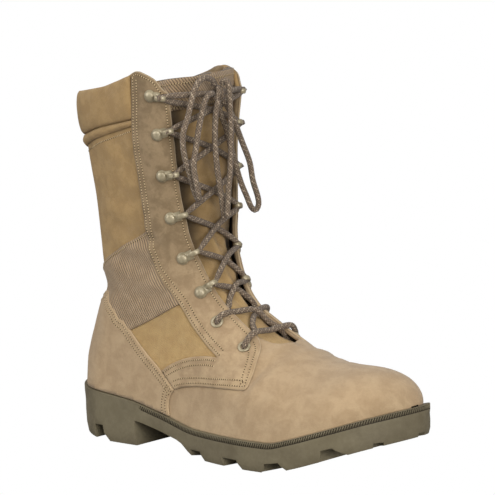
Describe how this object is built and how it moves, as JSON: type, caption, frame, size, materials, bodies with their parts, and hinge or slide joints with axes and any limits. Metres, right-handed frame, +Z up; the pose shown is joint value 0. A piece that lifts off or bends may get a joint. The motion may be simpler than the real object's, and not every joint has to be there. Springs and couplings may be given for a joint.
{
  "type": "jungle boot",
  "caption": "High lace-up boot with suede foot and facings, canvas shaft, padded collar, speed hooks, lace tied in a bow and a lugged rubber sole; right foot.",
  "frame": {"origin": "on the ground under the middle of the heel, on the heel's flat tread", "axes": "+X toward the toe, +Y toward the medial side, -Y toward the lateral side, +Z up along the shaft"},
  "size_m": [0.3005, 0.1084, 0.2721],
  "materials": {
    "rubber": "matte olive-drab",
    "insole_board": "matte",
    "canvas": "matte woven khaki",
    "suede": "napped tan",
    "webbing": "ribbed nylon",
    "painted_metal": "satin khaki paint",
    "lace_cord": "braided brown with light flecks"
  },
  "bodies": {
    "root": {"outsole": "rubber", "insole": "insole_board", "upper": "canvas", "tongue": "canvas", "heel_counter": "suede", "eyestay_lateral": "suede", "eyestay_medial": "suede", "webbing_lateral": "webbing", "webbing_medial": "webbing", "collar_band": "canvas", "collar_piping": "canvas", "hook_lateral_1": "painted_metal", "hook_lateral_2": "painted_metal", "hook_lateral_3": "painted_metal", "hook_lateral_4": "painted_metal", "hook_lateral_5": "painted_metal", "hook_lateral_6": "painted_metal", "hook_medial_1": "painted_metal", "hook_medial_2": "painted_metal", "hook_medial_3": "painted_metal", "hook_medial_4": "painted_metal", "hook_medial_5": "painted_metal", "hook_medial_6": "painted_metal", "eyelet_lateral_7": "painted_metal", "eyelet_lateral_8": "painted_metal", "eyelet_medial_7": "painted_metal", "eyelet_medial_8": "painted_metal", "lace_crossing_1": "lace_cord", "lace_crossing_2": "lace_cord", "lace_crossing_3": "lace_cord", "lace_crossing_4": "lace_cord", "lace_crossing_5": "lace_cord", "lace_crossing_6": "lace_cord", "lace_crossing_7": "lace_cord", "lace_bar": "lace_cord", "lace_top_lateral": "lace_cord", "lace_top_medial": "lace_cord", "lace_knot": "lace_cord", "lace_loop_lateral": "lace_cord", "lace_loop_medial": "lace_cord", "lace_end_lateral": "lace_cord", "lace_end_medial": "lace_cord"}
  },
  "joints": []
}
